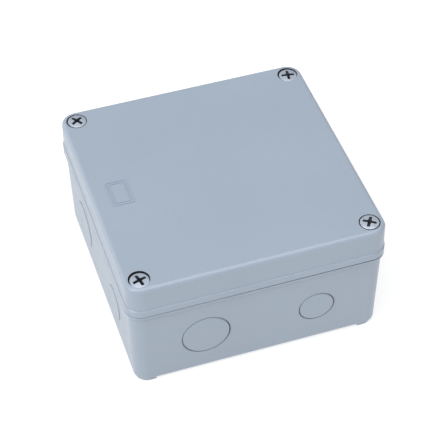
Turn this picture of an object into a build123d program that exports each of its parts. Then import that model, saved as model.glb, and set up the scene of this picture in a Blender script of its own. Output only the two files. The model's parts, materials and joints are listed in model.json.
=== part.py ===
from build123d import *
import math
import os

# Electrical junction box, surface mounting, with a deep screwed lid.
# Millimetres, +Z up. Origin: centre of the footprint, on the plane of the feet.
# Front wall is -Y, right wall +X, rear wall +Y, left wall -X.

# ---------------------------------------------------------------- dimensions
SIDE = 110.0            # lid band and base flange, across flats
CORNER_R = 7.0          # vertical corner radius of band and flange
HEIGHT = 58.0           # feet to lid top

FOOT_H = 0.5
FLOOR_T = 2.5
Z_FLOOR = FOOT_H + FLOOR_T
Z_WALL = 39.5           # top of the base's plain drafted wall
Z_FLANGE = 41.5         # lower edge of the rim flange's upright face
FLANGE_SLOPE = 28.8     # degrees from upright, between wall and flange
Z_RIM = 42.3            # top of the base's rim flange
Z_LID = 42.6            # lower edge of the lid skirt: a 0.3 parting gap
Z_BAND = 46.0           # top of the proud band on the lid skirt
BAND_PROUD = 0.4
LID_TAPER = 0.5         # degrees
LID_TOP_R = 1.8
ROOF_T = 2.4

BASE_HALF = 53.9        # base wall at its top: 1.1 mm inside the flange
BASE_R = 6.0
DRAFT = 1.35            # degrees, base walls inside and out
BOTTOM_R = 2.4

# seal line: a square whose corners are cut off inside the screw pillars
SEAL_HALF = 52.05
SEAL_DIAG = 88.27       # x + y on the cut corners
SEAL_R = 4.0
TONGUE_W = 1.7
GROOVE_W = 2.3
GASKET_W = 2.2
RIB_T = 1.3
Z_TONGUE = 51.0         # tongue top, pressing on the gasket
Z_GROOVE = 53.0         # groove roof
Z_RIB = 44.5

SCREW_XY = 48.1         # lid screws, from the centre
RECESS_R = 4.4
Z_SEAT = 54.9           # under the screw heads
SCREW_R = 2.0           # M4
SCREW_LEN = 20.0
HEAD_R = 4.05
HEAD_H = 2.85
HEAD_DOME = 0.4         # rise of the domed top
SCREW_HOLE_R = 2.3
SLEEVE_R = 4.6
SLEEVE_BORE_R = 3.5
Z_WEB = 51.6            # underside of the lid web that stops the retainer
RETAINER_R = 3.2
RETAINER_BORE_R = 2.05
RETAINER_T = 0.8
Z_RETAINER = 43.1
INSERT_R = 2.8
INSERT_BORE_R = 2.05
Z_INSERT_TOP = 41.8
INSERT_LEN = 6.3

# knockouts, seen from outside each wall: large one left, small one right
KO_Z = 21.2
KO_LARGE_R = 10.2       # 20.4 mm entry
KO_SMALL_R = 7.6        # 15.2 mm entry
KO_LARGE_U = -23.0
KO_SMALL_U = 24.8
KO_GAP = 0.2
KO_LIP = 0.8
KO_LIP_T = 0.5
KO_PROUD = 0.3          # the disc stands out from the wall
KO_BEVEL = 0.25         # round the disc's face
KO_MOUTH = 0.12         # eased edge of the opening
WALL_N = (BASE_HALF - (SEAL_HALF - TONGUE_W / 2
          - (Z_RIM - Z_WALL) * math.tan(math.radians(DRAFT)))) * math.cos(math.radians(DRAFT))

FIX_XY = 36.0           # wall fixing holes, from the centre
FIX_R = 2.3
FIX_BOSS_R = 5.5
FIX_BOSS_H = 1.2

LUG_U = -3.2            # small locating lug in the parting gap, off centre on each side
LUG_W = 2.3

# five-pole box terminal
POLES = (-22.0, -11.0, 0.0, 11.0, 22.0)
TB_Z0 = 5.5
TB_Z1 = 22.0
TB_HALF_X = 27.5
TB_HALF_Y = 10.0
TB_LUG_X = 32.0
TB_POST_TOP = 9.0
TB_LUG_T = 2.5
CAGE_X = 7.4
CAGE_Y = 9.8
CAGE_Z0 = 5.7
CAGE_Z1 = 16.3
CLAMP_Z0 = 7.1
CLAMP_Z1 = 13.5
PLATE_T = 1.0
TSCREW_R = 1.75
TSCREW_HEAD_R = 2.9
TSCREW_HEAD_Z = 17.0
TSCREW_HEAD_H = 2.4
WIRE_R = 1.9
WIRE_Z = 9.2

os.makedirs("parts", exist_ok=True)
CORNERS = (("front_left", -1, -1), ("front_right", 1, -1), ("rear_right", 1, 1), ("rear_left", -1, 1))
SIDES = ("front", "right", "rear", "left")
ROOT2 = math.sqrt(2.0)


def seal_points(off):
    """Corner points of the seal line, offset outwards by off."""
    a = SEAL_HALF + off
    b = SEAL_DIAG + off * ROOT2 - a
    return [(a, -b), (a, b), (b, a), (-b, a), (-a, b), (-a, -b), (-b, -a), (b, -a)]


def wall_plane(side, u, z):
    """Plane on the outer face of a drafted base wall, looking outwards."""
    t = math.radians(90 * side)
    d = math.radians(DRAFT)
    ux, uy = math.cos(t), math.sin(t)
    nx, ny = math.sin(t), -math.cos(t)
    reach = BASE_HALF - (Z_WALL - z) * math.tan(d)
    return Plane(origin=(u * ux + reach * nx, u * uy + reach * ny, z),
                 x_dir=(ux, uy, 0),
                 z_dir=(nx * math.cos(d), ny * math.cos(d), -math.sin(d)))


def dome_z(r):
    """Height of the lid screw's domed top at radius r."""
    big = (HEAD_R ** 2 + HEAD_DOME ** 2) / (2 * HEAD_DOME)
    return Z_SEAT + HEAD_H - (big - math.sqrt(big ** 2 - r ** 2))


KNOCKOUTS = []
for i, side_name in enumerate(SIDES):
    KNOCKOUTS.append((side_name + "_large", i, KO_LARGE_U, KO_LARGE_R))
    KNOCKOUTS.append((side_name + "_small", i, KO_SMALL_U, KO_SMALL_R))

# ---------------------------------------------------------------- base
with BuildPart() as base:
    # drafted tray with rounded bottom edge
    with BuildSketch(Plane.XY.offset(Z_WALL)):
        RectangleRounded(2 * BASE_HALF, 2 * BASE_HALF, BASE_R)
    extrude(amount=-(Z_WALL - FOOT_H), taper=DRAFT)
    fillet(base.faces().sort_by(Axis.Z)[0].edges(), radius=BOTTOM_R)
    # rim flange: a short upright face above a sloping shoulder
    with BuildSketch(Plane.XY.offset(Z_FLANGE)):
        RectangleRounded(SIDE, SIDE, CORNER_R)
    extrude(amount=Z_RIM - Z_FLANGE)
    with BuildSketch(Plane.XY.offset(Z_FLANGE)):
        RectangleRounded(SIDE, SIDE, CORNER_R)
    extrude(amount=-(Z_FLANGE - Z_WALL + 0.3), taper=FLANGE_SLOPE)
    fillet(base.faces().sort_by(Axis.Z)[-1].outer_wire().edges(), radius=0.4)
    # corner feet, following the outline
    with BuildSketch(Plane.XY):
        RectangleRounded(104.6, 104.6, 5.4)
        Rectangle(89.0, 130.0, mode=Mode.SUBTRACT)
        Rectangle(130.0, 89.0, mode=Mode.SUBTRACT)
    extrude(amount=3.0)
    # sealing tongue
    with BuildSketch(Plane.XY.offset(Z_RIM)) as tongue_outline:
        Polygon(*seal_points(TONGUE_W / 2), align=None)
        fillet(tongue_outline.vertices(), radius=SEAL_R + TONGUE_W / 2)
    extrude(amount=Z_TONGUE - Z_RIM)
    # inside: straight through the tongue, drafted below the rim
    with BuildSketch(Plane.XY.offset(Z_RIM)) as tongue_inside:
        Polygon(*seal_points(-TONGUE_W / 2), align=None)
        fillet(tongue_inside.vertices(), radius=SEAL_R - TONGUE_W / 2)
    extrude(amount=Z_TONGUE - Z_RIM, mode=Mode.SUBTRACT)
    with BuildSketch(Plane.XY.offset(Z_RIM)) as cavity:
        Polygon(*seal_points(-TONGUE_W / 2), align=None)
        fillet(cavity.vertices(), radius=SEAL_R - TONGUE_W / 2)
    extrude(amount=-(Z_RIM - Z_FLOOR), taper=DRAFT, mode=Mode.SUBTRACT)
    fillet(base.faces().filter_by(Axis.Z).filter_by_position(Axis.Z, Z_FLOOR - 0.01, Z_FLOOR + 0.01).edges(),
           radius=1.2)
    # eased top of the tongue
    fillet(base.faces().filter_by(Axis.Z).filter_by_position(Axis.Z, Z_TONGUE - 0.01, Z_TONGUE + 0.01).edges(),
           radius=0.3)
    # screw pillars: pocket for the insert and run-out below it, cored out from the underside
    with BuildSketch(Plane.XY.offset(Z_RIM)):
        with GridLocations(2 * SCREW_XY, 2 * SCREW_XY, 2, 2):
            Circle(INSERT_R + 0.02)
    extrude(amount=-(Z_RIM - (Z_INSERT_TOP - INSERT_LEN)), mode=Mode.SUBTRACT)
    with BuildSketch(Plane.XY.offset(Z_INSERT_TOP - INSERT_LEN)):
        with GridLocations(2 * SCREW_XY, 2 * SCREW_XY, 2, 2):
            Circle(2.4)
    extrude(amount=-2.5, mode=Mode.SUBTRACT)
    with BuildSketch(Plane.XY):
        with GridLocations(2 * SCREW_XY, 2 * SCREW_XY, 2, 2):
            Circle(2.6)
    extrude(amount=27.0, taper=0.5, mode=Mode.SUBTRACT)
    # wall fixing holes with raised bosses
    with BuildSketch(Plane.XY.offset(Z_FLOOR - 0.2)):
        with GridLocations(2 * FIX_XY, 2 * FIX_XY, 2, 2):
            Circle(FIX_BOSS_R)
    extrude(amount=FIX_BOSS_H + 0.2)
    with BuildSketch(Plane.XY):
        with GridLocations(2 * FIX_XY, 2 * FIX_XY, 2, 2):
            Circle(FIX_R)
    extrude(amount=Z_FLOOR + FIX_BOSS_H + 1.0, mode=Mode.SUBTRACT)
    # posts for the terminal block, with blind screw holes
    with BuildSketch(Plane.XY.offset(Z_FLOOR - 0.2)):
        with Locations((-TB_LUG_X, 0), (TB_LUG_X, 0)):
            Circle(3.6)
    extrude(amount=TB_POST_TOP - Z_FLOOR + 0.2, taper=1.0)
    with BuildSketch(Plane.XY.offset(TB_POST_TOP)):
        with Locations((-TB_LUG_X, 0), (TB_LUG_X, 0)):
            Circle(1.78)
    extrude(amount=-7.2, mode=Mode.SUBTRACT)
    # locating lugs in the parting gap
    for i in range(4):
        t = math.radians(90 * i)
        cx = LUG_U * math.cos(t) + 54.15 * math.sin(t)
        cy = LUG_U * math.sin(t) - 54.15 * math.cos(t)
        with BuildSketch(Plane(origin=(cx, cy, Z_RIM - 0.6), x_dir=(math.cos(t), math.sin(t), 0), z_dir=(0, 0, 1))):
            Rectangle(LUG_W, 1.6)
        extrude(amount=Z_LID - Z_RIM + 0.6)
    # knockout openings with a bevelled mouth
    for _, side, u, r in KNOCKOUTS:
        with BuildSketch(wall_plane(side, u, KO_Z)):
            Circle(r)
        extrude(amount=-(WALL_N + 1.0), mode=Mode.SUBTRACT)
        with BuildSketch(wall_plane(side, u, KO_Z)):
            Circle(r + KO_MOUTH)
        extrude(amount=-KO_MOUTH, taper=45, mode=Mode.SUBTRACT)
base.part.label = "base"
export_step(base.part, "parts/base.step")

# ---------------------------------------------------------------- lid
with BuildPart() as lid:
    with BuildSketch(Plane.XY.offset(Z_BAND)):
        RectangleRounded(SIDE - 2 * BAND_PROUD, SIDE - 2 * BAND_PROUD, CORNER_R - BAND_PROUD)
    extrude(amount=HEIGHT - Z_BAND, taper=LID_TAPER)
    fillet(lid.faces().sort_by(Axis.Z)[-1].edges(), radius=LID_TOP_R)
    with BuildSketch(Plane.XY.offset(Z_LID)):
        RectangleRounded(SIDE, SIDE, CORNER_R)
    extrude(amount=Z_BAND - Z_LID)
    # hollow inside the rib
    with BuildSketch(Plane.XY.offset(Z_LID)) as hollow:
        Polygon(*seal_points(-GROOVE_W / 2 - RIB_T), align=None)
        fillet(hollow.vertices(), radius=SEAL_R - GROOVE_W / 2 - RIB_T)
    extrude(amount=HEIGHT - ROOF_T - Z_LID, taper=0.6, mode=Mode.SUBTRACT)
    # gasket groove
    with BuildSketch(Plane.XY.offset(Z_LID)) as groove:
        Polygon(*seal_points(GROOVE_W / 2), align=None)
        fillet(groove.vertices(), radius=SEAL_R + GROOVE_W / 2)
        with BuildSketch(mode=Mode.SUBTRACT) as groove_inner:
            Polygon(*seal_points(-GROOVE_W / 2), align=None)
            fillet(groove_inner.vertices(), radius=SEAL_R - GROOVE_W / 2)
    extrude(amount=Z_GROOVE - Z_LID, mode=Mode.SUBTRACT)
    # the rib ends above the skirt's edge
    with BuildSketch(Plane.XY.offset(Z_LID)) as rib_relief:
        Polygon(*seal_points(-GROOVE_W / 2 + 0.1), align=None)
        fillet(rib_relief.vertices(), radius=SEAL_R - GROOVE_W / 2 + 0.1)
    extrude(amount=Z_RIB - Z_LID, mode=Mode.SUBTRACT)
    # corner pockets beside the screw sleeves
    with BuildSketch(Plane.XY.offset(Z_LID)):
        lim = SEAL_HALF + GROOVE_W / 2
        d_out = SEAL_DIAG + (GROOVE_W / 2 + 1.2) * ROOT2
        for sx, sy in ((1, 1), (-1, 1), (-1, -1), (1, -1)):
            Polygon((sx * lim, sy * (d_out - lim)), (sx * lim, sy * (lim - 3)),
                    (sx * (lim - 3), sy * lim), (sx * (d_out - lim), sy * lim), align=None)
        with GridLocations(2 * SCREW_XY, 2 * SCREW_XY, 2, 2):
            Circle(SLEEVE_R + 0.2, mode=Mode.SUBTRACT)
    extrude(amount=Z_GROOVE - Z_LID, mode=Mode.SUBTRACT)
    # screw sleeves stand on the base's corners
    with BuildSketch(Plane.XY.offset(Z_RIM)):
        with GridLocations(2 * SCREW_XY, 2 * SCREW_XY, 2, 2):
            Circle(SLEEVE_R)
    extrude(amount=Z_LID - Z_RIM + 0.5)
    with BuildSketch(Plane.XY.offset(Z_RIM)):
        with GridLocations(2 * SCREW_XY, 2 * SCREW_XY, 2, 2):
            Circle(SLEEVE_BORE_R)
    extrude(amount=Z_WEB - Z_RIM, mode=Mode.SUBTRACT)
    with BuildSketch(Plane.XY.offset(Z_WEB)):
        with GridLocations(2 * SCREW_XY, 2 * SCREW_XY, 2, 2):
            Circle(SCREW_HOLE_R)
    extrude(amount=Z_SEAT - Z_WEB, mode=Mode.SUBTRACT)
    with BuildSketch(Plane.XY.offset(HEIGHT)):
        with GridLocations(2 * SCREW_XY, 2 * SCREW_XY, 2, 2):
            Circle(RECESS_R)
    extrude(amount=-(HEIGHT - Z_SEAT), mode=Mode.SUBTRACT)
    # blank marking frame near the left edge of the lid
    with BuildSketch(Plane(origin=(-42.6, 0.2, HEIGHT - 0.05))):
        RectangleRounded(9.4, 14.2, 0.7)
        RectangleRounded(8.2, 13.0, 0.4, mode=Mode.SUBTRACT)
        RectangleRounded(6.9, 11.7, 0.5)
        RectangleRounded(5.9, 10.7, 0.3, mode=Mode.SUBTRACT)
    extrude(amount=0.3)
    # eased edges at the top and foot of the band and round the screw recesses
    chamfer(lid.faces().filter_by(Axis.Z).filter_by_position(Axis.Z, Z_BAND - 0.01, Z_BAND + 0.01)[0]
            .outer_wire().edges(), length=0.36)
    fillet(lid.faces().filter_by(Axis.Z).filter_by_position(Axis.Z, Z_LID - 0.01, Z_LID + 0.01)
           .sort_by(SortBy.AREA)[-1].outer_wire().edges(), radius=0.2)
    fillet([e for e in lid.edges().filter_by(GeomType.CIRCLE).filter_by_position(Axis.Z, HEIGHT - 0.01, HEIGHT + 0.01)
            if abs(e.radius - RECESS_R) < 0.01], radius=0.1)
lid.part.label = "lid"
export_step(lid.part, "parts/lid.step")

# ---------------------------------------------------------------- lid gasket
with BuildPart() as lid_gasket:
    with BuildSketch(Plane.XY.offset(Z_TONGUE)) as gasket_ring:
        Polygon(*seal_points(GASKET_W / 2), align=None)
        fillet(gasket_ring.vertices(), radius=SEAL_R + GASKET_W / 2)
        with BuildSketch(mode=Mode.SUBTRACT) as gasket_inner:
            Polygon(*seal_points(-GASKET_W / 2), align=None)
            fillet(gasket_inner.vertices(), radius=SEAL_R - GASKET_W / 2)
    extrude(amount=Z_GROOVE - Z_TONGUE)
lid_gasket.part.label = "lid_gasket"
export_step(lid_gasket.part, "parts/lid_gasket.step")

# ---------------------------------------------------------------- threaded inserts
with BuildPart() as threaded_inserts:
    with BuildSketch(Plane.XY.offset(Z_INSERT_TOP)):
        with GridLocations(2 * SCREW_XY, 2 * SCREW_XY, 2, 2):
            Circle(INSERT_R)
    extrude(amount=-INSERT_LEN)
    # groove round the middle between the two knurled bands
    with BuildSketch(Plane.XY.offset(Z_INSERT_TOP - INSERT_LEN / 2 + 0.6)):
        with GridLocations(2 * SCREW_XY, 2 * SCREW_XY, 2, 2):
            Circle(INSERT_R + 0.5)
            Circle(INSERT_R - 0.3, mode=Mode.SUBTRACT)
    extrude(amount=-1.2, mode=Mode.SUBTRACT)
    with BuildSketch(Plane.XY.offset(Z_INSERT_TOP)):
        with GridLocations(2 * SCREW_XY, 2 * SCREW_XY, 2, 2):
            Circle(INSERT_BORE_R)
    extrude(amount=-INSERT_LEN, mode=Mode.SUBTRACT)
threaded_inserts.part.label = "threaded_inserts"
export_step(threaded_inserts.part, "parts/threaded_inserts.step")

# ---------------------------------------------------------------- lid screws and their retainers
CROSS_TURN = {"front_left": 16.0, "front_right": 57.0, "rear_right": 82.0, "rear_left": 35.0}
for corner, sx, sy in CORNERS:
    x, y = sx * SCREW_XY, sy * SCREW_XY
    z_tip = Z_SEAT - SCREW_LEN
    with BuildPart() as lid_screw:
        with BuildSketch(Plane(origin=(x, y, 0), x_dir=(1, 0, 0), z_dir=(0, -1, 0))):
            with BuildLine():
                Polyline((0, z_tip), (1.35, z_tip), (SCREW_R, z_tip + 0.9), (SCREW_R, Z_SEAT),
                         (HEAD_R, Z_SEAT), (HEAD_R, Z_SEAT + HEAD_H - HEAD_DOME))
                ThreePointArc((HEAD_R, Z_SEAT + HEAD_H - HEAD_DOME), (0.65 * HEAD_R, dome_z(0.65 * HEAD_R)),
                              (0, Z_SEAT + HEAD_H))
                Line((0, Z_SEAT + HEAD_H), (0, z_tip))
            make_face()
        revolve(axis=Axis((x, y, 0), (0, 0, 1)))
        # cross recess
        t = math.radians(CROSS_TURN[corner])
        with BuildSketch(Plane(origin=(x, y, Z_SEAT + HEAD_H), x_dir=(math.cos(t), math.sin(t), 0), z_dir=(0, 0, 1))):
            Rectangle(5.0, 1.05)
            Rectangle(1.05, 5.0)
        extrude(amount=-1.8, taper=9, mode=Mode.SUBTRACT)
    name = "lid_screw_" + corner
    lid_screw.part.label = name
    export_step(lid_screw.part, "parts/" + name + ".step")

    with BuildPart() as retainer:
        with BuildSketch(Plane(origin=(x, y, Z_RETAINER))):
            Circle(RETAINER_R)
            Circle(RETAINER_BORE_R, mode=Mode.SUBTRACT)
        extrude(amount=RETAINER_T)
    name = "screw_retainer_" + corner
    retainer.part.label = name
    export_step(retainer.part, "parts/" + name + ".step")

# ---------------------------------------------------------------- knockouts
for ko_name, side, u, r in KNOCKOUTS:
    with BuildPart() as knockout:
        with BuildSketch(wall_plane(side, u, KO_Z).offset(KO_PROUD)):
            Circle(r - KO_GAP - KO_BEVEL)
        extrude(amount=-KO_BEVEL, taper=-45)
        with BuildSketch(wall_plane(side, u, KO_Z).offset(KO_PROUD - KO_BEVEL)):
            Circle(r - KO_GAP)
        extrude(amount=-(WALL_N + KO_PROUD - KO_BEVEL))
        # thin lip behind the wall, the remains of the break-out web
        with BuildSketch(wall_plane(side, u, KO_Z).offset(-WALL_N)):
            Circle(r + KO_LIP)
        extrude(amount=-KO_LIP_T)
    name = "knockout_" + ko_name
    knockout.part.label = name
    export_step(knockout.part, "parts/" + name + ".step")

# ---------------------------------------------------------------- terminal block
with BuildPart() as terminal_block_body:
    with BuildSketch(Plane.XY.offset(TB_Z0)):
        Rectangle(2 * TB_HALF_X, 2 * TB_HALF_Y)
    extrude(amount=TB_Z1 - TB_Z0)
    fillet(terminal_block_body.edges().filter_by(Axis.Z), radius=1.0)
    chamfer(terminal_block_body.faces().sort_by(Axis.Z)[-1].edges(), length=0.8)
    # fixing lugs
    with BuildSketch(Plane.XY.offset(TB_POST_TOP)):
        SlotOverall(2 * 36.0, 8.0)
    extrude(amount=TB_LUG_T)
    # barrier notches between the poles
    with BuildSketch(Plane.XY.offset(TB_Z1)):
        with Locations(*[(x + 5.5, 0) for x in POLES[:-1]]):
            Rectangle(1.2, 2 * TB_HALF_Y + 2)
    extrude(amount=-3.0, mode=Mode.SUBTRACT)
    # cage chambers, open at the bottom
    with BuildSketch(Plane.XY.offset(TB_Z0)):
        with Locations(*[(x, 0) for x in POLES]):
            Rectangle(CAGE_X + 0.2, CAGE_Y + 0.2)
    extrude(amount=CAGE_Z1 + 0.1 - TB_Z0, mode=Mode.SUBTRACT)
    # screw wells
    with BuildSketch(Plane.XY.offset(TB_Z1)):
        with Locations(*[(x, 0) for x in POLES]):
            Circle(TSCREW_HEAD_R + 0.3)
    extrude(amount=-(TB_Z1 - CAGE_Z1), mode=Mode.SUBTRACT)
    # wire entries with funnels, front and rear
    with BuildSketch(Plane.XZ.offset(TB_HALF_Y)):
        with Locations(*[(x, WIRE_Z) for x in POLES]):
            Circle(WIRE_R)
    extrude(amount=-2 * TB_HALF_Y, mode=Mode.SUBTRACT)
    with BuildSketch(Plane.XZ.offset(TB_HALF_Y)):
        with Locations(*[(x, WIRE_Z) for x in POLES]):
            Circle(WIRE_R + 1.1)
    extrude(amount=-1.1, taper=45, mode=Mode.SUBTRACT)
    with BuildSketch(Plane.XZ.offset(-TB_HALF_Y)):
        with Locations(*[(x, WIRE_Z) for x in POLES]):
            Circle(WIRE_R + 1.1)
    extrude(amount=1.1, taper=45, mode=Mode.SUBTRACT)
    # holes in the lugs
    with BuildSketch(Plane.XY.offset(TB_POST_TOP)):
        with Locations((-TB_LUG_X, 0), (TB_LUG_X, 0)):
            Circle(2.0)
    extrude(amount=TB_LUG_T, mode=Mode.SUBTRACT)
terminal_block_body.part.label = "terminal_block_body"
export_step(terminal_block_body.part, "parts/terminal_block_body.step")

with BuildPart() as terminal_cages:
    with BuildSketch(Plane.XY.offset(CAGE_Z0)):
        with Locations(*[(x, 0) for x in POLES]):
            Rectangle(CAGE_X, CAGE_Y)
    extrude(amount=CAGE_Z1 - CAGE_Z0)
    # conductor window along Y
    with BuildSketch(Plane.XZ.offset(TB_HALF_Y)):
        with Locations(*[(x, (CLAMP_Z0 + CLAMP_Z1) / 2) for x in POLES]):
            Rectangle(5.0, CLAMP_Z1 - CLAMP_Z0)
    extrude(amount=-2 * TB_HALF_Y, mode=Mode.SUBTRACT)
    with BuildSketch(Plane.XY.offset(CAGE_Z1)):
        with Locations(*[(x, 0) for x in POLES]):
            Circle(TSCREW_R + 0.05)
    extrude(amount=-(CAGE_Z1 - CLAMP_Z1), mode=Mode.SUBTRACT)
terminal_cages.part.label = "terminal_cages"
export_step(terminal_cages.part, "parts/terminal_cages.step")

SLOT_TURN = (12.0, -35.0, 78.0, 40.0, -8.0)
for n, x in enumerate(POLES, start=1):
    with BuildPart() as clamp_plate:
        with BuildSketch(Plane(origin=(x, 0, CLAMP_Z0))):
            RectangleRounded(4.4, 8.6, 0.5)
        extrude(amount=PLATE_T)
    name = "clamp_plate_%d" % n
    clamp_plate.part.label = name
    export_step(clamp_plate.part, "parts/" + name + ".step")

    z0 = CLAMP_Z0 + PLATE_T
    with BuildPart() as terminal_screw:
        with BuildSketch(Plane(origin=(x, 0, 0), x_dir=(1, 0, 0), z_dir=(0, -1, 0))):
            with BuildLine():
                Polyline((0, z0), (1.3, z0), (TSCREW_R, z0 + 0.6), (TSCREW_R, TSCREW_HEAD_Z),
                         (TSCREW_HEAD_R, TSCREW_HEAD_Z), (TSCREW_HEAD_R, TSCREW_HEAD_Z + TSCREW_HEAD_H - 0.4),
                         (TSCREW_HEAD_R - 0.4, TSCREW_HEAD_Z + TSCREW_HEAD_H), (0, TSCREW_HEAD_Z + TSCREW_HEAD_H),
                         (0, z0))
            make_face()
        revolve(axis=Axis((x, 0, 0), (0, 0, 1)))
        t = math.radians(SLOT_TURN[n - 1])
        with BuildSketch(Plane(origin=(x, 0, TSCREW_HEAD_Z + TSCREW_HEAD_H), x_dir=(math.cos(t), math.sin(t), 0),
                               z_dir=(0, 0, 1))):
            Rectangle(7.0, 0.9)
        extrude(amount=-1.2, mode=Mode.SUBTRACT)
    name = "terminal_screw_%d" % n
    terminal_screw.part.label = name
    export_step(terminal_screw.part, "parts/" + name + ".step")

with BuildPart() as terminal_fixing_screws:
    for x, turn in ((-TB_LUG_X, 25.0), (TB_LUG_X, -50.0)):
        z_head = TB_POST_TOP + TB_LUG_T
        with BuildSketch(Plane(origin=(x, 0, 0), x_dir=(1, 0, 0), z_dir=(0, -1, 0))):
            with BuildLine():
                Polyline((0, 2.2), (1.75, 4.4), (1.75, z_head), (3.2, z_head), (3.2, z_head + 1.1))
                ThreePointArc((3.2, z_head + 1.1), (2.2, z_head + 1.712), (0, z_head + 2.2))
                Line((0, z_head + 2.2), (0, 2.2))
            make_face()
        revolve(axis=Axis((x, 0, 0), (0, 0, 1)))
        t = math.radians(turn)
        with BuildSketch(Plane(origin=(x, 0, z_head + 2.2), x_dir=(math.cos(t), math.sin(t), 0), z_dir=(0, 0, 1))):
            Rectangle(3.8, 0.9)
            Rectangle(0.9, 3.8)
        extrude(amount=-1.5, taper=9, mode=Mode.SUBTRACT)
terminal_fixing_screws.part.label = "terminal_fixing_screws"
export_step(terminal_fixing_screws.part, "parts/terminal_fixing_screws.step")
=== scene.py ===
import json
import math

import bmesh
import bpy
from mathutils import Matrix, Vector


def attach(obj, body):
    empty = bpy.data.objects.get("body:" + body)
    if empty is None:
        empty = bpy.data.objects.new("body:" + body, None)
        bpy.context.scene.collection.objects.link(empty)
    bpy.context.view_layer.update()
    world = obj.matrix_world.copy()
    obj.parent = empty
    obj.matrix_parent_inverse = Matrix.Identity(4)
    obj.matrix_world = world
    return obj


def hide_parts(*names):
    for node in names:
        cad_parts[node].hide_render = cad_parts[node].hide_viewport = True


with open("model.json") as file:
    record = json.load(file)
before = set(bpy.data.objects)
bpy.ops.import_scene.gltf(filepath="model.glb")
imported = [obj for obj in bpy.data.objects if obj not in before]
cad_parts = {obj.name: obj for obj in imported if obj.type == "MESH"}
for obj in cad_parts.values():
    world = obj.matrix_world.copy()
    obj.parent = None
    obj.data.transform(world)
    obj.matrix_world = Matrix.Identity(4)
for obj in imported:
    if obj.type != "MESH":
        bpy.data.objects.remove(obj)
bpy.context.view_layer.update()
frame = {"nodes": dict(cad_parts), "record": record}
NODES = frame["nodes"]
MM = 0.001

CORNERS = (("front_left", -1, -1, 16.0), ("front_right", 1, -1, 57.0),
           ("rear_right", 1, 1, 82.0), ("rear_left", -1, 1, 35.0))
# each screw was driven a little out of true: where its head sits off centre in the recess, and how high, in mm
LEAN = {"front_left": (0.06, -0.24, 0.0), "front_right": (0.08, 0.22, 0.42), "rear_right": (0.22, -0.06, 0.12),
        "rear_left": (0.20, 0.20, 0.40)}
SCREW_XY = 48.1
POLES = (-22.0, -11.0, 0.0, 11.0, 22.0)
SLOT_TURN = (12.0, -35.0, 78.0, 40.0, -8.0)


# ------------------------------------------------------------------ materials
def nt_new(name):
    m = bpy.data.materials.new(name)
    m.use_nodes = True
    nt = m.node_tree
    nt.nodes.clear()
    out = nt.nodes.new("ShaderNodeOutputMaterial")
    bsdf = nt.nodes.new("ShaderNodeBsdfPrincipled")
    nt.links.new(bsdf.outputs["BSDF"], out.inputs["Surface"])
    return m, nt, bsdf


def coords(nt):
    return nt.nodes.new("ShaderNodeTexCoord").outputs["Object"]


def noise(nt, vec, scale, detail=2.0, rough=0.5, stretch=None):
    n = nt.nodes.new("ShaderNodeTexNoise")
    n.inputs["Scale"].default_value = scale
    n.inputs["Detail"].default_value = detail
    n.inputs["Roughness"].default_value = rough
    if stretch:
        mp = nt.nodes.new("ShaderNodeMapping")
        mp.inputs["Scale"].default_value = stretch
        nt.links.new(vec, mp.inputs["Vector"])
        vec = mp.outputs["Vector"]
    nt.links.new(vec, n.inputs["Vector"])
    return n.outputs["Fac"]


def voronoi(nt, vec, scale, feature="SMOOTH_F1"):
    n = nt.nodes.new("ShaderNodeTexVoronoi")
    n.feature = feature
    n.inputs["Scale"].default_value = scale
    nt.links.new(vec, n.inputs["Vector"])
    return n.outputs["Distance"]


def ramp(nt, fac, stops):
    r = nt.nodes.new("ShaderNodeValToRGB")
    el = r.color_ramp.elements
    while len(el) > 1:
        el.remove(el[-1])
    el[0].position, el[0].color = stops[0][0], tuple(stops[0][1]) + (1,)
    for pos, col in stops[1:]:
        e = el.new(pos)
        e.color = tuple(col) + (1,)
    nt.links.new(fac, r.inputs["Fac"])
    return r.outputs["Color"]


def spread(nt, fac, lo, hi, a=0.3, b=0.7):
    r = nt.nodes.new("ShaderNodeMapRange")
    r.inputs["From Min"].default_value = a
    r.inputs["From Max"].default_value = b
    r.inputs["To Min"].default_value = lo
    r.inputs["To Max"].default_value = hi
    nt.links.new(fac, r.inputs["Value"])
    return r.outputs["Result"]


def math_node(nt, op, a, b):
    m = nt.nodes.new("ShaderNodeMath")
    m.operation = op
    for i, v in enumerate((a, b)):
        if isinstance(v, (int, float)):
            m.inputs[i].default_value = v
        else:
            nt.links.new(v, m.inputs[i])
    return m.outputs[0]


def bump(nt, height, strength, distance, normal=None):
    b = nt.nodes.new("ShaderNodeBump")
    b.inputs["Strength"].default_value = strength
    b.inputs["Distance"].default_value = distance
    nt.links.new(height, b.inputs["Height"])
    if normal is not None:
        nt.links.new(normal, b.inputs["Normal"])
    return b.outputs["Normal"]


def scaled(col, k):
    return tuple(min(1.0, c * k) for c in col)


def fade(nt, fac, a, b, lo=0.0, hi=1.0):
    """Clamped linear step: lo where fac is a, hi where it is b."""
    return spread(nt, fac, lo, hi, a, b)


def split(nt, v):
    n = nt.nodes.new("ShaderNodeSeparateXYZ")
    nt.links.new(v, n.inputs["Vector"])
    return n.outputs["X"], n.outputs["Y"], n.outputs["Z"]


def hypot_node(nt, a, b):
    return math_node(nt, "SQRT", math_node(nt, "ADD", math_node(nt, "MULTIPLY", a, a), math_node(nt, "MULTIPLY", b, b)), 0.0)


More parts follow.
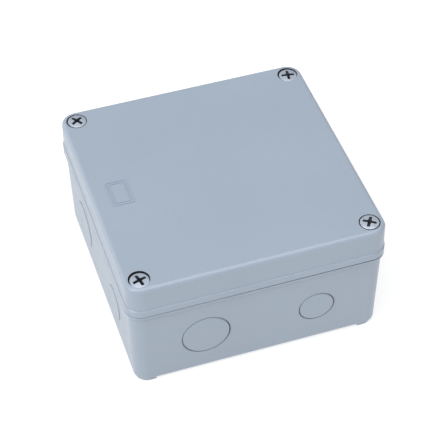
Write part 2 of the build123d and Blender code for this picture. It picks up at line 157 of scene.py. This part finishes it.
def lid_painted_shade(nt, v):
    """Painted shade: darkens the colour down the walls of the screw recesses and along the parting line, more towards
    +x, away from the lights.
    """
    x, y, z = split(nt, v)
    # painted shade: near-black down the screw recess walls
    r = hypot_node(nt, math_node(nt, "SUBTRACT", math_node(nt, "ABSOLUTE", x, 0.0), SCREW_XY * MM),
                   math_node(nt, "SUBTRACT", math_node(nt, "ABSOLUTE", y, 0.0), SCREW_XY * MM))
    well = math_node(nt, "MULTIPLY", fade(nt, r, 0.00447, 0.00439), fade(nt, z, 0.05797, 0.05785, 0.0, 0.93))
    # painted shadow line at the lid's lower edge, darker towards +x
    line = math_node(nt, "MULTIPLY", fade(nt, z, 0.04285, 0.04268), fade(nt, x, -0.045, 0.05, 0.1, 0.75))
    return math_node(nt, "MAXIMUM", well, line)


def base_painted_shade(nt, v):
    """Painted shadow: darkens the colour in the thin gaps round the knockouts, most below and right of them and little
    on the lit left wall, plus a painted shade line along the parting line.
    """
    x, y, z = split(nt, v)
    front = math_node(nt, "MULTIPLY", math_node(nt, "MULTIPLY", x, math_node(nt, "SIGN", y, 0.0)), -1.0)
    side = math_node(nt, "MULTIPLY", y, math_node(nt, "SIGN", x, 0.0))
    total = None
    for u, wall in ((front, y), (side, x)):
        on_wall = fade(nt, math_node(nt, "ABSOLUTE", wall, 0.0), 0.0520, 0.0522)
        # painted shadow kept faint on the left wall, which faces the lights
        if wall is x:
            on_wall = math_node(nt, "MULTIPLY", on_wall, fade(nt, x, -0.01, 0.01, 0.15, 1.0))
        for uc, rad in ((-0.0230, 0.0102), (0.0248, 0.0076)):
            du = math_node(nt, "SUBTRACT", u, uc)
            dz = math_node(nt, "SUBTRACT", z, 0.02125)
            r = hypot_node(nt, du, dz)
            ring = math_node(nt, "MULTIPLY", fade(nt, r, rad - 0.00050, rad - 0.00036),
                             fade(nt, r, rad + 0.00044, rad + 0.00026))
            # painted shadow strongest below and to the right of each knockout
            low = math_node(nt, "SUBTRACT", math_node(nt, "MULTIPLY", du, 0.35), math_node(nt, "MULTIPLY", dz, 0.94))
            ring = math_node(nt, "MULTIPLY", math_node(nt, "MULTIPLY", ring, fade(nt, low, -0.006, 0.005, 0.0, 0.72)),
                             on_wall)
            total = ring if total is None else math_node(nt, "MAXIMUM", total, ring)
    out = math_node(nt, "MAXIMUM", math_node(nt, "ABSOLUTE", x, 0.0), math_node(nt, "ABSOLUTE", y, 0.0))
    # painted shadow line at the top of the base rim under the lid, darker towards +x
    line = math_node(nt, "MULTIPLY", fade(nt, z, 0.04212, 0.04226), fade(nt, x, -0.045, 0.05, 0.1, 0.75))
    line = math_node(nt, "MULTIPLY", line, fade(nt, out, 0.0538, 0.0540))
    return math_node(nt, "MAXIMUM", total, line)


def moulded(name, col, rough, grain=1500.0, depth=0.00003, mottle=0.03, ior=1.5, sss=0.0, painted_shade=None):
    """Injection-moulded plastic: a fine spark-eroded grain over faint flow marks."""
    m, nt, p = nt_new(name)
    v = coords(nt)
    broad = noise(nt, v, 22.0, 3.0, 0.55)
    fine = noise(nt, v, grain * 0.6, 3.0, 0.6)
    tone = math_node(nt, "ADD", math_node(nt, "MULTIPLY", broad, 0.6), math_node(nt, "MULTIPLY", fine, 0.4))
    colour = ramp(nt, tone, [(0.32, scaled(col, 1 - mottle)), (0.5, col), (0.68, scaled(col, 1 + mottle))])
    # painted shade: the colour is scaled down by the mask where shade falls
    if painted_shade:
        shaded_colour = nt.nodes.new("ShaderNodeVectorMath")
        shaded_colour.operation = "SCALE"
        nt.links.new(colour, shaded_colour.inputs[0])
        nt.links.new(math_node(nt, "SUBTRACT", 1.0, painted_shade(nt, v)), shaded_colour.inputs["Scale"])
        colour = shaded_colour.outputs["Vector"]
    nt.links.new(colour, p.inputs["Base Color"])
    nt.links.new(spread(nt, noise(nt, v, 260.0, 2.0, 0.6), rough - 0.04, rough + 0.05), p.inputs["Roughness"])
    p.inputs["IOR"].default_value = ior
    p.inputs["Subsurface Weight"].default_value = sss
    p.inputs["Subsurface Radius"].default_value = (0.0012, 0.001, 0.0008)
    p.inputs["Subsurface Scale"].default_value = 1.0
    pits = voronoi(nt, v, grain * 1.4)
    n1 = bump(nt, noise(nt, v, grain * 0.22, 2.0, 0.5), 0.35, depth * 0.8)
    nt.links.new(bump(nt, math_node(nt, "ADD", pits, fine), 0.5, depth, n1), p.inputs["Normal"])
    return m


def metal(name, col, rough, mark_scale=2600.0, dull=0.82, tint=None, rings=True, metallic=1.0):
    """Plated turned metal: turning marks round the axis, faint stains, uneven polish."""
    m, nt, p = nt_new(name)
    v = coords(nt)
    stain = noise(nt, v, 420.0, 4.0, 0.6)
    nt.links.new(ramp(nt, stain, [(0.3, tint or scaled(col, dull)), (0.52, col), (0.72, scaled(col, 1.06))]),
                 p.inputs["Base Color"])
    p.inputs["Metallic"].default_value = metallic
    nt.links.new(spread(nt, noise(nt, v, 900.0, 3.0, 0.6), rough - 0.07, rough + 0.1), p.inputs["Roughness"])
    h = noise(nt, v, 1800.0, 3.0, 0.6)
    if rings:
        w = nt.nodes.new("ShaderNodeTexWave")
        w.wave_type = "RINGS"
        w.rings_direction = "Z"
        w.inputs["Scale"].default_value = mark_scale
        w.inputs["Distortion"].default_value = 1.2
        w.inputs["Detail"].default_value = 2.0
        nt.links.new(v, w.inputs["Vector"])
        h = math_node(nt, "ADD", w.outputs["Fac"], math_node(nt, "MULTIPLY", h, 0.6))
    nt.links.new(bump(nt, h, 0.35, 0.000008), p.inputs["Normal"])
    return m


def rubber(name):
    m, nt, p = nt_new(name)
    v = coords(nt)
    nt.links.new(ramp(nt, noise(nt, v, 700.0, 4.0, 0.65),
                      [(0.3, (0.018, 0.018, 0.02)), (0.6, (0.032, 0.032, 0.034)), (0.8, (0.06, 0.06, 0.06))]),
                 p.inputs["Base Color"])
    nt.links.new(spread(nt, noise(nt, v, 300.0), 0.6, 0.8), p.inputs["Roughness"])
    cells = voronoi(nt, v, 2600.0, "F1")
    nt.links.new(bump(nt, cells, 0.6, 0.00004), p.inputs["Normal"])
    return m


BLUE = (0.284, 0.338, 0.411)
M = {
    # base and lid colours carry painted shade in gaps, screw recesses and along the parting line
    "base_plastic": moulded("base_plastic", BLUE, 0.34, ior=1.58, painted_shade=base_painted_shade),
    "lid_plastic": moulded("lid_plastic", scaled(BLUE, 1.02), 0.34, ior=1.58, painted_shade=lid_painted_shade),
    "gasket_rubber": rubber("gasket_rubber"),
    "insert_brass": metal("insert_brass", (0.80, 0.58, 0.26), 0.3, tint=(0.52, 0.34, 0.14)),
    "screw_steel": metal("screw_steel", (0.49, 0.55, 0.64), 0.42, metallic=0.6),
    "retainer_nylon": moulded("retainer_nylon", (0.74, 0.74, 0.70), 0.45, 2600.0, 0.00001, 0.03, 1.53, 0.25),
    "terminal_plastic": moulded("terminal_plastic", (0.66, 0.67, 0.65), 0.46, 1900.0, 0.00002, 0.025, 1.53, 0.1),
    "terminal_brass": metal("terminal_brass", (0.72, 0.67, 0.55), 0.3, tint=(0.55, 0.46, 0.3), rings=False),
    "terminal_plate_steel": metal("terminal_plate_steel", (0.60, 0.60, 0.61), 0.32, rings=False),
    "terminal_screw_steel": metal("terminal_screw_steel", (0.60, 0.61, 0.62), 0.3),
}


def recess_shade_material():
    """A near-black, dull material painted into driver recesses and onto screw heads' side walls as their shade."""
    m, nt, p = nt_new("recess_painted_shade")
    v = coords(nt)
    nt.links.new(ramp(nt, noise(nt, v, 1500.0, 4.0, 0.6),
                      [(0.3, (0.012, 0.015, 0.024)), (0.6, (0.03, 0.036, 0.05)), (0.8, (0.07, 0.075, 0.085))]),
                 p.inputs["Base Color"])
    p.inputs["Metallic"].default_value = 0.35
    nt.links.new(spread(nt, noise(nt, v, 900.0), 0.5, 0.7), p.inputs["Roughness"])
    nt.links.new(bump(nt, noise(nt, v, 3000.0, 3.0, 0.6), 0.5, 0.00002), p.inputs["Normal"])
    return m


M["recess"] = recess_shade_material()

for sub in frame["record"]["subparts"]:
    node = NODES[sub["node"]]
    node.data.materials.clear()
    node.data.materials.append(M[sub["material_slot"]])


# ------------------------------------------------------------------ mesh tools
def finish_mesh(name, bm, mats, at=(0, 0, 0), sharp=38.0):
    bmesh.ops.remove_doubles(bm, verts=bm.verts, dist=2e-7)
    bmesh.ops.dissolve_degenerate(bm, edges=bm.edges, dist=1e-7)
    bmesh.ops.recalc_face_normals(bm, faces=bm.faces)
    me = bpy.data.meshes.new(name)
    bm.to_mesh(me)
    bm.free()
    for m in mats:
        me.materials.append(m)
    me.shade_smooth()
    me.set_sharp_from_angle(angle=math.radians(sharp))
    o = bpy.data.objects.new(name, me)
    o.location = Vector(at) * MM
    bpy.context.scene.collection.objects.link(o)
    return o


def add_rings(bm, prof, n, axis=(0.0, 0.0), radius=None):
    """Lathe of a profile of (r, z) in mm round a vertical axis; r of 0 makes a pole. radius(r, z, a) may vary r."""
    rows = []
    for r, z in prof:
        if r < 1e-6:
            rows.append([bm.verts.new((axis[0] * MM, axis[1] * MM, z * MM))])
            continue
        row = []
        for i in range(n):
            a = 2 * math.pi * i / n
            q = radius(r, z, a) if radius else r
            row.append(bm.verts.new(((axis[0] + q * math.cos(a)) * MM, (axis[1] + q * math.sin(a)) * MM, z * MM)))
        rows.append(row)
    for p, q in zip(rows, rows[1:]):
        for i in range(n):
            k = (i + 1) % n
            if len(p) == 1 and len(q) > 1:
                bm.faces.new((p[0], q[k], q[i]))
            elif len(q) == 1 and len(p) > 1:
                bm.faces.new((p[i], p[k], q[0]))
            elif len(p) > 1:
                bm.faces.new((p[i], p[k], q[k], q[i]))
    return rows


def add_thread(bm, z0, z1, pitch, major, root, r_tip, r_top, n, axis=(0.0, 0.0), cone=1.0,
               shape=(0.0, 0.5, 1.0, 1.0, 0.5, 0.0), hand=1):
    """A helical thread from z0 to z1 in mm, with a tapered start at z0. Closed at neither end."""
    m = len(shape)
    top = (math.ceil((z1 - z0) / pitch) + 1) * m + m
    grid = {}

    def vert(i, j):
        while i >= n:
            i, j = i - n, j + m
        j = min(j, top)
        if (i, j) not in grid:
            z = z0 + pitch * (j / m + i / n - 1.0)
            if z <= z0:
                z, r = z0, r_tip
            elif z >= z1:
                z, r = z1, r_top
            else:
                r = root + (major - root) * shape[j % m]
                r = min(r, r_tip + (z - z0) * cone)
                if z1 - z < 0.3 * pitch:
                    r = min(r, root)
            a = hand * 2 * math.pi * i / n
            grid[i, j] = bm.verts.new(((axis[0] + r * math.cos(a)) * MM, (axis[1] + r * math.sin(a)) * MM, z * MM))
        return grid[i, j]

    for i in range(n):
        for j in range(top):
            q = [vert(i, j), vert(i + 1, j), vert(i + 1, j + 1), vert(i, j + 1)]
            u = []
            for w in q:
                if w not in u and not any((w.co - x.co).length < 1e-8 for x in u):
                    u.append(w)
            if len(u) > 2:
                try:
                    bm.faces.new(u)
                except ValueError:
                    pass


def cut(obj, cutter_bm):
    """Takes a closed cutter away from obj and keeps the result as its mesh."""
    cme = bpy.data.meshes.new("cutter")
    bmesh.ops.recalc_face_normals(cutter_bm, faces=cutter_bm.faces)
    cutter_bm.to_mesh(cme)
    cutter_bm.free()
    co = bpy.data.objects.new("cutter", cme)
    co.matrix_world = obj.matrix_world.copy()
    co.location = obj.location
    bpy.context.scene.collection.objects.link(co)
    mod = obj.modifiers.new("cut", "BOOLEAN")
    mod.operation = "DIFFERENCE"
    mod.solver = "EXACT"
    mod.object = co
    bpy.context.view_layer.update()
    dg = bpy.context.evaluated_depsgraph_get()
    me = bpy.data.meshes.new_from_object(obj.evaluated_get(dg))
    obj.modifiers.clear()
    old = obj.data
    me.name = obj.name
    obj.data = me
    bpy.data.meshes.remove(old)
    bpy.data.objects.remove(co)
    bpy.data.meshes.remove(cme)


def add_loft(bm, loops):
    """Closed solid through loops of equal length, capped at both ends. Points in mm."""
    rows = [[bm.verts.new((x * MM, y * MM, z * MM)) for x, y, z in loop] for loop in loops]
    n = len(rows[0])
    for p, q in zip(rows, rows[1:]):
        for i in range(n):
            k = (i + 1) % n
            bm.faces.new((p[i], p[k], q[k], q[i]))
    bm.faces.new(rows[0][::-1])
    bm.faces.new(rows[-1])


def cross_loop(a, b, q, z, turn, axis=(0.0, 0.0)):
    """Outline of a cross recess: arms a long, b half wide, inner corners eased by q, arm ends eased."""
    t, e = math.radians(turn), b * 0.35
    pts = []
    for k in range(4):
        c, s = math.cos(t + k * math.pi / 2), math.sin(t + k * math.pi / 2)
        for x, y in ((b + q, -b), (a - e, -b), (a, -b + e), (a, b - e), (a - e, b), (b + q, b)):
            pts.append((axis[0] + x * c - y * s, axis[1] + x * s + y * c, z))
    return pts


def cross_cutter(z_top, turn, big=2.95, half=0.66, depth=2.0, axis=(0.0, 0.0)):
    bm = bmesh.new()
    loops = []
    for f, a, b, q in ((-0.5, 1.06, 1.06, 0.30), (0.0, 1.0, 1.0, 0.26), (0.12, 0.97, 0.93, 0.22),
                       (0.65, 0.72, 0.72, 0.14), (1.0, 0.46, 0.52, 0.06)):
        loops.append(cross_loop(big * a, half * b, q, z_top - f * depth, turn, axis))
    add_loft(bm, loops[::-1])
    return bm


def slot_cutter(z_top, turn, width=0.9, depth=1.2, length=8.0):
    bm = bmesh.new()
    t = math.radians(turn)
    c, s = math.cos(t), math.sin(t)
    loops = []
    for z, w in ((z_top - depth, width / 2 - 0.03), (z_top - 0.12, width / 2), (z_top + 0.5, width / 2 + 0.25)):
        loops.append([(x * c - y * s, x * s + y * c, z) for x, y in
                      ((-length / 2, -w), (length / 2, -w), (length / 2, w), (-length / 2, w))])
    add_loft(bm, loops)
    return bm


def mark_recess(obj, inside, axis=(0.0, 0.0)):
    """Gives the faces of a driver recess the near-black painted-shade material."""
    for poly in obj.data.polygons:
        c = poly.center / MM
        if inside(math.hypot(c.x - axis[0], c.y - axis[1]), c.z, poly.normal):
            poly.material_index = 1


def smooth_again(obj, sharp=38.0):
    obj.data.shade_smooth()
    obj.data.set_sharp_from_angle(angle=math.radians(sharp))


# ------------------------------------------------------------------ lid screws: M4 x 20, domed head, cross recess
Z_SEAT, HEAD_R, HEAD_H, DOME = 54.9, 4.05, 2.85, 0.4
BIG = (HEAD_R ** 2 + DOME ** 2) / (2 * DOME)


def dome_z(r):
    return Z_SEAT + HEAD_H - (BIG - math.sqrt(BIG ** 2 - r ** 2))


def head_profile():
    side = Z_SEAT + HEAD_H - DOME
    prof = [(1.72, Z_SEAT - 0.02), (2.0, Z_SEAT), (3.6, Z_SEAT), (3.85, Z_SEAT + 0.08), (3.98, Z_SEAT + 0.24),
            (4.03, Z_SEAT + 0.5), (4.04, side - 0.45), (4.03, side - 0.27), (3.99, side - 0.11), (3.91, side),
            (3.8, side + 0.05), (3.6, dome_z(3.6))]
    prof += [(r, dome_z(r)) for r in (3.3, 3.0, 2.6, 2.2, 1.8, 1.4, 1.0, 0.5)]
    prof.append((0.0, Z_SEAT + HEAD_H))
    return prof


for corner, sx, sy, turn in CORNERS:
    bm = bmesh.new()
    z_tip = Z_SEAT - 20.0
    add_rings(bm, [(0.0, z_tip), (0.8, z_tip), (1.3, z_tip)], 72)
    add_thread(bm, z_tip, Z_SEAT - 0.02, 0.7, 1.99, 1.60, 1.3, 1.72, 72)
    add_rings(bm, head_profile(), 72)
    screw = finish_mesh("lid_screw_m4_" + corner, bm, [M["screw_steel"], M["recess"]],
                        at=(sx * SCREW_XY, sy * SCREW_XY, 0))
    cut(screw, cross_cutter(Z_SEAT + HEAD_H, turn))
    # painted shade: cross recess and head side wall get the near-black recess material
    mark_recess(screw, lambda r, z, nrm: (r < 3.15 and Z_SEAT + 0.3 < z < dome_z(r) - 0.05)
                or (r > 3.97 and Z_SEAT + 0.3 < z < Z_SEAT + HEAD_H - DOME - 0.08))
    smooth_again(screw)
    dx, dy, dz = LEAN[corner]
    screw.data.transform(Matrix.Translation((0, 0, (38.6 + dz) * MM)) @ Matrix.Rotation(math.hypot(dx, dy) / 19.0, 4, Vector((-dy, dx, 0)))
                         @ Matrix.Translation((0, 0, -38.6 * MM)))
    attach(screw, "lid_screw_" + corner)
    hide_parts("lid_screw_" + corner)

    # retaining washer: rounded, with a notched rim
    def rim(r, z, a):
        if r < 2.9:
            return r
        return r - 0.09 * max(0.0, math.cos(12 * a)) ** 6

    bm = bmesh.new()
    prof = [(2.06, 43.25), (2.16, 43.14), (2.35, 43.1), (2.9, 43.1), (3.08, 43.14), (3.17, 43.26), (3.19, 43.5),
            (3.17, 43.74), (3.08, 43.86), (2.9, 43.9), (2.35, 43.9), (2.16, 43.86), (2.06, 43.75), (2.06, 43.25)]
    add_rings(bm, prof, 96, radius=rim)
    washer = finish_mesh("retaining_washer_" + corner, bm, [M["retainer_nylon"]], at=(sx * SCREW_XY, sy * SCREW_XY, 0))
    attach(washer, "retainer_" + corner)
    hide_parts("screw_retainer_" + corner)


# ------------------------------------------------------------------ knurled brass inserts
def insert_radius(r, z, a):
    if r > 2.6:
        lean = 0.9 if z > 38.65 else -0.9
        f = (a * 26 / (2 * math.pi) + lean * z * 0.5) % 1.0
        return r - 0.16 * abs(2 * f - 1)
    return r


bm = bmesh.new()
for _, sx, sy, _t in CORNERS:
    ax = (sx * SCREW_XY, sy * SCREW_XY)
    outer = [(2.1, 41.8), (2.5, 41.8), (2.56, 41.7)]
    outer += [(2.79, 41.45 - 0.2 * k) for k in range(9)]
    outer += [(2.5, 39.6), (2.48, 39.2), (2.48, 38.2), (2.5, 37.8)]
    outer += [(2.79, 37.6 - 0.2 * k) for k in range(9)]
    outer += [(2.56, 35.6), (2.5, 35.5), (2.1, 35.5)]
    add_rings(bm, outer, 104, axis=ax, radius=insert_radius)
    add_thread(bm, 35.5, 41.8, 0.7, 2.07, 2.26, 2.1, 2.1, 104, axis=ax, cone=1.0)
inserts = finish_mesh("knurled_inserts", bm, [M["insert_brass"]], sharp=30.0)
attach(inserts, "base")
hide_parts("threaded_inserts")


# ------------------------------------------------------------------ lid gasket: a rounded bead round the seal line
def seal_path(half=52.05, diag=88.27, rad=4.0, steps=10):
    a, b = half, diag - half
    pts = [Vector(p) for p in [(a, -b), (a, b), (b, a), (-b, a), (-a, b), (-a, -b), (-b, -a), (b, -a)]]
    out = []
    n = len(pts)
    for i in range(n):
        p, q, r = pts[i - 1], pts[i], pts[(i + 1) % n]
        u, w = (p - q).normalized(), (r - q).normalized()
        ang = u.angle(w)
        d = rad / math.tan(ang / 2)
        c = q + (u + w).normalized() * (rad / math.sin(ang / 2))
        s0, s1 = q + u * d, q + w * d
        a0 = math.atan2(s0.y - c.y, s0.x - c.x)
        a1 = math.atan2(s1.y - c.y, s1.x - c.x)
        da = (a1 - a0 + math.pi) % (2 * math.pi) - math.pi
        for k in range(steps + 1):
            t = a0 + da * k / steps
            nrm = Vector((math.cos(t), math.sin(t)))
            out.append((c + nrm * rad, nrm))
        # a few points along the straight, so that it shades evenly
        nxt = pts[(i + 1) % n]
        far = pts[(i + 2) % n]
        u2, w2 = (q - nxt).normalized(), (far - nxt).normalized()
        d2 = rad / math.tan(u2.angle(w2) / 2)
        end = nxt + u2 * d2
        for k in range(1, 12):
            out.append((s1.lerp(end, k / 12), out[-1][1] if k > 1 else nrm))
    return out


bm = bmesh.new()
section = [(-1.08, 52.7), (-1.0, 52.93), (-0.8, 52.99), (0.8, 52.99), (1.0, 52.93), (1.08, 52.7), (1.09, 51.9),
           (1.05, 51.5), (0.93, 51.22), (0.72, 51.06), (0.45, 51.01), (-0.45, 51.01), (-0.72, 51.06), (-0.93, 51.22),
           (-1.05, 51.5), (-1.09, 51.9)]
loops = []
for p, nrm in seal_path():
    loops.append([bm.verts.new(((p.x + nrm.x * u) * MM, (p.y + nrm.y * u) * MM, z * MM)) for u, z in section])
for i in range(len(loops)):
    p, q = loops[i], loops[(i + 1) % len(loops)]
    for k in range(len(section)):
        m2 = (k + 1) % len(section)
        bm.faces.new((p[k], p[m2], q[m2], q[k]))
gasket = finish_mesh("seal_bead", bm, [M["gasket_rubber"]], sharp=60.0)
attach(gasket, "lid")
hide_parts("lid_gasket")

# ------------------------------------------------------------------ terminal screws, clamp plates and fixing screws
for n, (x, turn) in enumerate(zip(POLES, SLOT_TURN), start=1):
    z0, zh, top = 8.1, 17.0, 19.4
    bm = bmesh.new()
    add_rings(bm, [(0.0, z0), (0.7, z0), (1.25, z0)], 64)
    add_thread(bm, z0, zh - 0.02, 0.6, 1.74, 1.40, 1.25, 1.5, 64)
    add_rings(bm, [(1.5, zh - 0.02), (1.7, zh), (2.6, zh), (2.8, zh + 0.1), (2.88, zh + 0.3), (2.89, top - 0.45),
                   (2.84, top - 0.22), (2.7, top - 0.07), (2.5, top), (1.6, top), (0.8, top), (0.0, top)], 64)
    s = finish_mesh("clamp_screw_%d" % n, bm, [M["terminal_screw_steel"], M["recess"]], at=(x, 0, 0))
    cut(s, slot_cutter(top, turn))
    # painted shade: slot faces get the near-black recess material
    mark_recess(s, lambda r, z, nrm: top - 1.3 < z < top - 0.06 and nrm.z > -0.5 and (r < 2.6 or nrm.z > 0.9))
    smooth_again(s)
    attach(s, "terminal_screw_%d" % n)
    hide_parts("terminal_screw_%d" % n)

    # plate with grooves that grip the conductor
    bm = bmesh.new()
    ys = [-4.3, -4.3, 4.3, 4.3]
    sect = [(-4.22, 8.08), (4.22, 8.08), (4.28, 8.02), (4.28, 7.2), (4.18, 7.11)]
    y = 3.9
    while y > -3.7:
        sect += [(y, 7.11), (y - 0.35, 7.36), (y - 0.7, 7.11)]
        y -= 1.1
    sect += [(-4.18, 7.11), (-4.28, 7.2), (-4.28, 8.02)]
    faces = []
    rows = []
    for px, ins in ((-2.18, 0.10), (-2.08, 0.0), (2.08, 0.0), (2.18, 0.10)):
        rows.append([bm.verts.new((px * MM, (q * (1 - ins / 4.3)) * MM, (7.6 + (z - 7.6) * (1 - ins / 0.5)) * MM))
                     for q, z in sect])
    for p, q in zip(rows, rows[1:]):
        for k in range(len(sect)):
            m2 = (k + 1) % len(sect)
            bm.faces.new((p[k], q[k], q[m2], p[m2]))
    bm.faces.new(rows[0])
    bm.faces.new(rows[-1][::-1])
    plate = finish_mesh("grooved_plate_%d" % n, bm, [M["terminal_plate_steel"]], at=(x, 0, 0), sharp=25.0)
    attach(plate, "clamp_plate_%d" % n)
    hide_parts("clamp_plate_%d" % n)

bm = bmesh.new()
fix = ((-32.0, 25.0), (32.0, -50.0))
ZH = 11.5
for x, _turn in fix:
    add_rings(bm, [(0.0, 2.25), (0.35, 2.6)], 64, axis=(x, 0.0))
    add_thread(bm, 2.6, ZH - 0.02, 1.3, 1.74, 1.25, 0.35, 1.5, 64, axis=(x, 0.0), cone=0.62,
               shape=(0.0, 0.0, 0.15, 0.6, 1.0, 0.6, 0.15, 0.0))
    add_rings(bm, [(1.5, ZH - 0.02), (1.7, ZH), (2.9, ZH), (3.1, ZH + 0.1), (3.19, ZH + 0.35), (3.19, ZH + 1.0),
                   (3.12, ZH + 1.2), (2.9, ZH + 1.42), (2.5, ZH + 1.65), (2.0, ZH + 1.86), (1.4, ZH + 2.05),
                   (0.7, ZH + 2.16), (0.0, ZH + 2.19)], 64, axis=(x, 0.0))
fixing = finish_mesh("block_fixing_screws", bm, [M["terminal_screw_steel"], M["recess"]])
for x, turn in fix:
    cut(fixing, cross_cutter(ZH + 2.19, turn, big=1.95, half=0.46, depth=1.6, axis=(x, 0.0)))
mark_recess(fixing, lambda r, z, nrm: False)
# painted shade: the cross recesses get the near-black recess material
for poly in fixing.data.polygons:
    c = poly.center / MM
    r = min(math.hypot(c.x - x, c.y) for x, _t in fix)
    if r < 2.1 and ZH + 0.3 < c.z < ZH + 2.1 - 0.1 * r * r:
        poly.material_index = 1
smooth_again(fixing)
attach(fixing, "base")
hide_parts("terminal_fixing_screws")


# ------------------------------------------------------------------ stage, light, camera
def floor_material():
    m, nt, p = nt_new("studio_floor")
    v = coords(nt)
    nt.links.new(ramp(nt, noise(nt, v, 6.0, 2.0), [(0.3, (0.43, 0.43, 0.43)), (0.7, (0.45, 0.45, 0.45))]),
                 p.inputs["Base Color"])
    p.inputs["Roughness"].default_value = 0.9
    p.inputs["Specular IOR Level"].default_value = 0.2
    p.inputs["Emission Color"].default_value = (1.0, 1.0, 1.0, 1.0)
    p.inputs["Emission Strength"].default_value = 0.60
    return m


bm = bmesh.new()
bmesh.ops.create_grid(bm, x_segments=8, y_segments=8, size=6.0)
fme = bpy.data.meshes.new("studio_floor")
bm.to_mesh(fme)
bm.free()
fme.materials.append(floor_material())
floor = bpy.data.objects.new("studio_floor", fme)
bpy.context.scene.collection.objects.link(floor)

scene = bpy.context.scene
world = bpy.data.worlds.new("studio")
scene.world = world
world.use_nodes = True
bg = world.node_tree.nodes["Background"]
bg.inputs["Color"].default_value = (1.0, 1.0, 1.0, 1.0)
bg.inputs["Strength"].default_value = 0.40

centre = Vector((0.0, 0.0, 0.03))


def softbox(name, direction, dist, width, height, radiance):
    """An area light facing the object. Its energy is set from the radiance that it shows."""
    li = bpy.data.lights.new(name, "AREA")
    li.shape = "RECTANGLE"
    li.size = width
    li.size_y = height
    li.energy = radiance * width * height * math.pi
    o = bpy.data.objects.new(name, li)
    d = Vector(direction).normalized()
    o.location = centre + d * dist
    o.rotation_euler = (-d).to_track_quat("-Z", "Y").to_euler()
    scene.collection.objects.link(o)
    return o


softbox("overhead", (-0.06, -0.26, 0.96), 1.7, 2.0, 2.0, 2.46)
softbox("left_key", (-0.76, -0.27, 0.59), 1.7, 0.65, 0.65, 7.0)
softbox("left_rear", (-0.74, 0.62, 0.26), 1.7, 1.0, 0.6, 2.0)

scene.view_settings.view_transform = "Standard"
scene.view_settings.look = "None"
scene.view_settings.exposure = 0.0
scene.view_settings.gamma = 1.0

cam = bpy.data.cameras.new("camera")
cam.sensor_fit = "HORIZONTAL"
cam.sensor_width = 36.0
cam.lens = 122.139
cam.clip_start = 0.01
cam.clip_end = 50.0
cam_o = bpy.data.objects.new("camera", cam)
fwd = Vector((0.21549, 0.661539, -0.718283)).normalized()
up = Vector((0.230055, 0.680467, 0.695729))
right = fwd.cross(up).normalized()
up = right.cross(fwd).normalized()
rot = Matrix((right, up, -fwd)).transposed()
cam_o.matrix_world = Matrix.Translation(Vector((-138.639, -432.21, 494.579)) * MM) @ rot.to_4x4()
scene.collection.objects.link(cam_o)
scene.camera = cam_o
